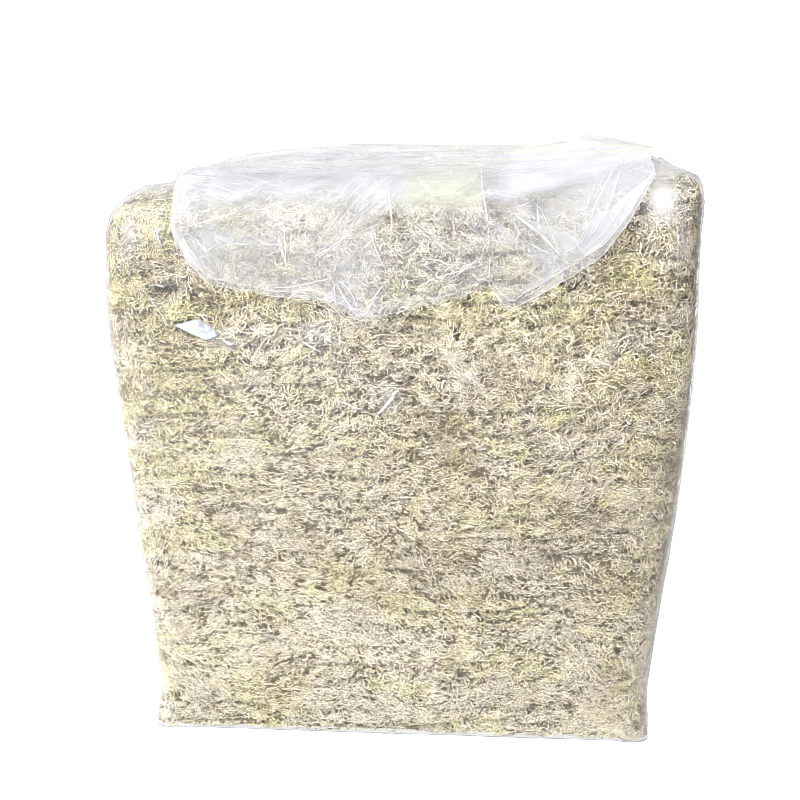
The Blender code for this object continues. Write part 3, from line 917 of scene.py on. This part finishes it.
# On the neck, in millimetres: half a width, then places across and along the flat film
NECK_FOLDS = (
    (0.40, -152.4, 274, -125.1, 267.2, -112.2, 263.6, -98.5, 256.9),
    (0.40, -136.9, 242.3, -124.5, 245.6, -109.6, 250.7),
    (0.25, -134.4, 236.2, -130.6, 198.3, -118.6, 164.8),
    (0.40, -77.9, 271.4, -77, 300.8),
    (0.35, -66, 294.8, -41.1, 280.5, -29.9, 268.5, -17.4, 256.2),
    (0.30, -57.7, 292.4, -34.5, 275.6, -20.4, 260.4),
    (0.35, -29.1, 262.7, -20.6, 254.6),
    (0.30, -37.4, 257.8, -23.2, 232.6),
    (0.30, -43.5, 256.5, -33.8, 238.5),
    (0.40, -20.6, 268.5, -18.4, 280.2, -14.3, 290.7, -9.1, 300.6),
    (0.40, -7.8, 234.9, -8.8, 250.7, -6, 265.9, -6.2, 280.1),
    (0.45, -45, 305.2, -44.1, 323.2),
    (0.40, -44.4, 305.2, -34.5, 312.3, -29.9, 323),
    (0.60, -43.8, 307.6, -36.9, 320.7, -26.5, 334),
    (0.45, -9.1, 305.3, -18, 318, -24, 332.7),
    (0.40, -89.1, 312.4, -70, 311, -53.3, 306.6, -44.4, 304.6),
    (0.35, -150.7, 276.9, -145.9, 285.2, -134.9, 300.5, -124.6, 307.5),
    (0.30, -144.2, 275.6, -136.1, 280.4, -129.5, 289.7, -118.1, 301.4),
    (0.30, -148.9, 275.6, -141.9, 286.6, -132.4, 298.8, -121.1, 306.2),
    (0.30, -133.1, 280.3, -130.6, 287.4, -123.2, 282.6),
    (0.35, -127.5, 275.3, -117.2, 281.4, -100.8, 283.4, -77.3, 282.1),
    (0.45, 54.1, 188.9, 53.9, 250.1, 58.7, 263.6, 61.4, 308.6),
    (0.35, 72.1, 260.1, 81.5, 276.2, 107.7, 291.2),
    (0.80, 72.8, 260.1, 91.2, 272, 96.9, 275.9, 109.6, 289.8),
    (0.70, 91.7, 256.2, 92.5, 270.4),
    (0.40, 92.4, 256.9, 100.9, 271.7, 108.1, 287.6),
    (0.45, 122.5, 284, 129.9, 261.7, 152.9, 214.3),
    (0.40, 124.6, 284.6, 138.2, 265.9, 152.1, 224.3),
    (0.35, 122.2, 290.3, 140, 275.6, 157, 253),
    (0.35, 153.5, 238.8, 164, 210, 164.5, 235.9),
    (0.35, 153.5, 238.8, 164.5, 235.9),
    (0.45, 61.4, 309.6, 71.9, 323, 76.5, 327.5),
    (0.30, 62.9, 311, 74.7, 323.9),
    (0.30, 37.2, 302.7, 57.8, 286.8),
    (0.30, 32.8, 305.5, 53.9, 289),
    (0.30, 7.5, 308.9, 35.7, 299.9, 56.7, 293.9),
    (0.35, 5.6, 267.2, 21.2, 278.2, 41.2, 291.3),
    (0.35, 11.6, 291.7, 24.5, 301.5),
    (0.30, -26.7, 306.3, -15.9, 309.6, -5, 304),
    (0.35, -12.9, 50, 16, 46, 37.8, 42),
    (0.30, -4.8, 170.3, 24, 172.2, 55, 166.4),
    (0.30, 1.1, 142.7, 27.3, 122.8, 48.4, 121.4),
    (0.40, -137.6, 200.8, -115.2, 120.4, -81.4, 78.9, -39.9, 61.9),
    (0.35, -132.9, 133.9, -95.6, 80, -55.6, 50),
    (0.35, 129, 50, 147.1, 70, 158, 130),
)
# Sets of fine folds side by side on the neck, in millimetres: their middle, how far they spread, the
# angle that they run at, how that varies, how many there are and about how long they are
NECK_FANS = (
    ((-40, 264), (17, 14), -0.85, 0.20, 20, 26),
    ((-20, 242), (16, 13), -1.15, 0.25, 12, 22),
    ((-135, 289), (8, 8), 0.90, 0.15, 9, 20),
    ((-125, 247), (18, 12), 0.30, 0.40, 8, 20),
    ((20, 283), (18, 12), 0.75, 0.25, 12, 20),
    ((5, 90), (120, 45), 0.00, 0.10, 26, 60),
    ((105, 210), (35, 25), -0.30, 0.35, 14, 28),
    ((138, 256), (7, 13), -1.10, 0.12, 4, 22),
    ((90, 290), (20, 12), 0.60, 0.50, 9, 14),
    ((-35, 315), (8, 8), 1.00, 0.30, 8, 14),
    ((-95, 295), (26, 9), 0.10, 0.50, 10, 16),
    ((68, 317), (5, 6), 0.95, 0.25, 6, 10),
)
# On the body's front, in millimetres: half a width, then places across and up
BODY_FOLDS = (
    (0.35, -185.1, 380.6, -175.8, 365.1, -161.8, 343.7),
    (0.30, -159, 348.3, -142.6, 353.3, -128, 343),
    (0.30, -159, 347.8, -135.7, 338.5, -129, 338.5),
    (1.10, -126.5, 337.7, -121.6, 334.8, -118, 336.3),
    (0.35, -121.6, 334.8, -103.7, 321.1),
    (0.70, -177.7, 375.7, -173.4, 377.2, -165.8, 375.9),
    (0.60, -171.1, 424.2, -165.9, 401.7),
    (0.40, -173.7, 425.5, -168.8, 408.6),
    (0.12, -8.5, 348, -8.8, 290, -8.2, 230, -7.5, 168),
    (0.60, -63.7, 346.7, -39.3, 332.5),
    (0.60, -71, 339.3, -53.6, 327.9),
    (0.40, -12.6, 297.3, -7.6, 303.4, 3.1, 302.1),
    (0.60, -48, 296, -30, 288, -17, 284),
    (1.10, -17, 284, -10, 293, -2, 302),
    (0.35, -7.6, 303.4, -9, 294.4),
    (0.40, 27.7, 326.3, 63.5, 304.8),
    (0.30, 31.3, 317.6, 52.8, 307.6),
    (0.30, -191, 420, -195.5, 408.3, -196.5, 366.2),
    (0.45, -163.1, 429, -170.4, 415.4),
    (0.40, -157.1, 408.7, -154, 393.6),
    (0.35, 193, 420, 197.5, 357.9),
    (0.40, -193.5, 35.9, -185.5, 15, -166.4, 5),
    (0.40, 191.5, 59.2, 188.4, 29.3, 168.9, 10),
    (0.30, 185, 45, 180, 15),
    (0.30, -186, 42, -180, 12),
)
# A spot where the film lies doubled on the front, bluish white with a grey edge: its corners, and
# how many rows of points it has
DOUBLED = ((-0.1605, 0.3480), (-0.1430, 0.3532), (-0.1278, 0.3422), (-0.1385, 0.3378))
SPOT_ROWS = 7
# Sets of fine folds on the body's front, as on the neck
BODY_FANS = (
    ((187, 220), (6, 150), 1.50, 0.12, 9, 40),
    ((-187, 240), (6, 150), 1.55, 0.12, 7, 40),
    ((-189, 411), (5, 13), 1.35, 0.35, 16, 12),
    ((-156, 415), (8, 10), 1.20, 0.35, 7, 14),
    ((174, 437), (7.5, 11), 1.90, 0.50, 30, 12),
    ((-70, 335), (30, 12), -0.60, 0.25, 7, 14),
    ((0, 14), (170, 6), 0.05, 0.15, 16, 30),
)


def in_metres(folds):
    """Those folds with their widths and places in metres."""
    return [(half_width / 1000, *(np.array(path).reshape(-1, 2) / 1000)) for half_width, *path in folds]


def fan_paths(fans):
    """The set of paths that each of those fans stands for."""
    paths = []
    for middle, spread, angle, turning, count, length in fans:
        for _ in range(count):
            at = (np.array(middle) + chance.uniform(-1.0, 1.0, 2) * spread) / 1000
            run = angle + turning * vary()
            reach = length / 1000 * chance.uniform(0.25, 0.65) * np.array((math.cos(run), math.sin(run)))
            bow = 0.12 * vary() * np.array((-reach[1], reach[0]))
            paths.append((chance.uniform(0.00012, 0.00028), at - reach, at + bow, at + reach))
    return paths


def even_path(path, count):
    """Evenly spaced places along a path, with its corners eased."""
    path = np.array(path)
    reach = np.concatenate(((0.0,), np.cumsum(np.linalg.norm(np.diff(path, axis=0), axis=1))))
    at = np.linspace(0.0, reach[-1], count)
    places = np.stack([np.interp(at, reach, path[:, axis]) for axis in (0, 1)], axis=1)
    for _ in range(2):
        places[1:-1] = (places[:-2] + 2 * places[1:-1] + places[2:]) / 4
    return places


def fold_strips(folds, surface):
    """Points and faces of one low ridge along each path. Surface puts a flat place and a lift on it."""
    points, faces, whiteness = [], [], []
    for half_width, *path in folds:
        places = even_path(path, FOLD_STEPS)
        run = unit(np.gradient(places, axis=0))
        level = np.stack((-run[:, 1], run[:, 0]), axis=1)
        along = np.abs(np.linspace(-1.0, 1.0, FOLD_STEPS))
        taper = np.maximum(1.0 - along ** 2.5, 0.05)[:, None]
        base = len(points) * FOLD_STEPS
        ridge = FOLD_LIFT + min(half_width, HIGHEST_FOLD)
        rows = [surface(places + level * taper * half_width * sign, lift)
                for sign, lift in ((1, FOLD_LIFT), (0, ridge), (-1, FOLD_LIFT))]
        points.append(np.stack(rows, axis=1))
        whiteness.append(min(MOST_WHITE, half_width / WHITE_FOLD))
        corner = (base + np.arange(FOLD_STEPS - 1))[:, None] * 3 + np.arange(2)
        faces.append(np.stack((corner, corner + 3, corner + 4, corner + 1), axis=2).reshape(-1, 4))
    whiteness = np.repeat(whiteness, 3 * FOLD_STEPS)
    return np.concatenate(points).reshape(-1, 3), np.concatenate(faces), whiteness


def on_neck(places, lift, layer=1.0):
    """Flat places on the neck, on its outer layer (1) or its inner one (-1)."""
    gap = np.interp(places[:, 0], across, open_by)
    return neck_surface(places, np.full(len(places), layer), gap, lift)


film_tree = BVHTree.FromPolygons(film_points.tolist(), film_faces.tolist())


def on_front(places, lift):
    """Places across and up on the body's front."""
    found = [film_tree.find_nearest((x, -0.14, z)) for x, z in places.tolist()]
    return np.array([hit[0] + hit[1] * lift for hit in found])


def doubled_spot(corners, grow, lift, tone):
    """Points and faces of a four-cornered spot on the front, with its tone as its whiteness."""
    corners = np.array(corners)
    middle = corners.mean(axis=0)
    first, second, third, fourth = corners + (corners - middle) * grow
    shares = np.linspace(0, 1, SPOT_ROWS)
    over, down = (share.reshape(-1, 1) for share in np.meshgrid(shares, shares, indexing="ij"))
    places = (1 - down) * ((1 - over) * first + over * second)
    places += down * ((1 - over) * fourth + over * third)
    cells = np.arange(SPOT_ROWS - 1)
    row = (cells[:, None] * SPOT_ROWS + cells).reshape(-1, 1)
    return on_front(places, lift), row + (0, 1, SPOT_ROWS + 1, SPOT_ROWS), np.full(SPOT_ROWS ** 2, tone)


def edge_paths(ends):
    """The cut edge of one layer, as a run of short paths."""
    line = np.stack((across, ends - 0.0004), axis=1)
    starts = range(0, NECK_COLUMNS - EDGE_STEPS - 1, EDGE_STEPS)
    return [(0.0003, *line[start:start + EDGE_STEPS + 2]) for start in starts]


outer_edge, inner_edge = edge_paths(mouth - lip), edge_paths(mouth)
# Each part of the folds has its tone: 0 is white, 0.5 bluish and 1 grey
parts = (
    (0.0, fold_strips(in_metres(NECK_FOLDS) + fan_paths(NECK_FANS), on_neck)),
    (0.0, fold_strips(outer_edge, on_neck)),
    (0.0, fold_strips(inner_edge, lambda places, lift: on_neck(places, lift, -1.0))),
    (0.0, fold_strips(in_metres(BODY_FOLDS) + fan_paths(BODY_FANS), on_front)),
    (1.0, doubled_spot(DOUBLED, 0.08, 0.0003, 0.85)),
    (0.5, doubled_spot(DOUBLED, 0.0, 0.0005, 0.90)),
)
tones, folded = zip(*parts)
part_points, part_faces, part_whites = zip(*folded)
starts = np.cumsum([0] + [len(points) for points in part_points])
fold_faces = np.concatenate([faces + start for faces, start in zip(part_faces, starts)])
folds = piece_from("bag_folds", np.concatenate(part_points), fold_faces)
greyness = np.repeat(tones, [len(points) for points in part_points])
note_milk(folds, np.concatenate(part_whites), greyness)

fold_finish, add, shader, output = new_material("pinched_film")
patchy = add("TexNoise", {"Vector": add("TexCoord", out="Object"), "Scale": 90.0}, "Fac")
kinds = noted(add, "milk")
amount = maths(add, "MULTIPLY", add("MapRange", (patchy, 0.35, 0.58, 0.25, 0.95)), kinds["X"])
greys = ramp(add, kinds["Y"], (
    (0.0, (0.68, 0.70, 0.73, 1.0)), (0.5, (0.52, 0.55, 0.60, 1.0)), (1.0, (0.20, 0.22, 0.25, 1.0))))
fill(shader, {"Base Color": greys, "Roughness": 0.35})
faded = add("MixShader", (amount, add("BsdfTransparent"), shader.outputs["BSDF"]))
fill(output, {"Surface": faded})
folds.data.materials.append(fold_finish)
place_in_frame(folds, "bag")


# The floor, the lights and the camera
# A plain white studio: a white floor that runs into a white surround, one broad lamp over the front
# and two small ones that put the glints on the film.

FLOOR_TONE = 0.72
EYE = (0.02895, -0.78269, 0.52149)
PITCH = math.radians(18.82318)  # below level
TURN = math.radians(2.54347)
ROLL = math.radians(0.232)
LENS_PIXELS = 977.304  # the focal length, in pixels of a picture as wide as the next line says
PICTURE = 800
SENSOR = 36.0
WHITE = (1.0, 1.0, 1.0, 1.0)
FLOOR_REACH = 6.0
FLOOR_HEIGHT = -0.0006
SURROUND_DIFFUSE = -0.38  # how much darker the surround is as the moss sees it, and as the film does
SURROUND_GLOSSY = -0.13

floor_corners = [(x * FLOOR_REACH, y * FLOOR_REACH, FLOOR_HEIGHT)
                 for x, y in ((-1, -1), (1, -1), (1, 1), (-1, 1))]
floor = piece_from("floor", floor_corners, np.array(((0, 1, 2, 3),)), smooth=False)
floor_finish, add, shader, _ = new_material("white_floor")
fill(shader, {
    "Base Color": (FLOOR_TONE, FLOOR_TONE, FLOOR_TONE, 1.0), "Roughness": 0.9,
    "Specular IOR Level": 0.0, "Emission Color": WHITE,
    "Emission Strength": add("LightPath", out="Is Camera Ray")})
floor.data.materials.append(floor_finish)

world = bpy.data.worlds.new("white_surround")
world.use_nodes = True
add = node_adder(world.node_tree)
rays = add("LightPath", out=None)
strength = maths(add, "MULTIPLY_ADD", rays["Is Glossy Ray"], SURROUND_GLOSSY, 1.0)
strength = maths(add, "MULTIPLY_ADD", rays["Is Diffuse Ray"], SURROUND_DIFFUSE, strength)
fill(world.node_tree.nodes["Background"], {"Color": WHITE, "Strength": strength})
scene.world = world


def stand(made, across, up, back, place):
    """Puts a lamp or the camera at a place, with its right, its top and its back those ways."""
    columns = np.column_stack((across, up, back, place))
    made.matrix_world = Matrix([*columns.tolist(), (0.0, 0.0, 0.0, 1.0)])
    scene.collection.objects.link(made)


def add_lamp(name, size, power, place, target):
    """A square lamp that faces a point. Only a small one shows as a glint."""
    lamp = bpy.data.lights.new(name, "AREA")
    lamp.size = size
    lamp.energy = power
    made = bpy.data.objects.new(name, lamp)
    back_way = unit(np.subtract(place, target))
    level = unit(np.cross((0.0, 0.0, 1.0), back_way))
    made.visible_glossy = size < 0.5
    stand(made, level, np.cross(back_way, level), back_way, place)


add_lamp("broad_lamp", 1.0, 176.0, (-1.2, -1.6, 2.2), (0.0, 0.0, 0.25))
add_lamp("left_glint", 0.16, 1.2, (-0.9, -0.9, 1.2), (0.0, 0.0, 0.35))
add_lamp("right_glint", 0.16, 0.7, (0.9, -0.5, 1.3), (0.0, 0.0, 0.35))

far = math.cos(PITCH)
ahead = np.array((-math.sin(TURN) * far, math.cos(TURN) * far, -math.sin(PITCH)))
level = np.array((math.cos(TURN), math.sin(TURN), 0.0))
rising = np.cross(level, ahead)
camera = bpy.data.objects.new("camera", bpy.data.cameras.new("camera"))
camera.data.sensor_width = SENSOR
camera.data.lens = LENS_PIXELS / PICTURE * SENSOR
rolled_level = level * math.cos(ROLL) + rising * math.sin(ROLL)
rolled_up = rising * math.cos(ROLL) - level * math.sin(ROLL)
stand(camera, rolled_level, rolled_up, -ahead, EYE)
scene.camera = camera
scene.view_settings.view_transform = "Standard"
scene.cycles.transparent_max_bounces = 16
scene.cycles.diffuse_bounces = 1
scene.cycles.glossy_bounces = 1
scene.cycles.max_bounces = 2
scene.cycles.filter_width = 0.70
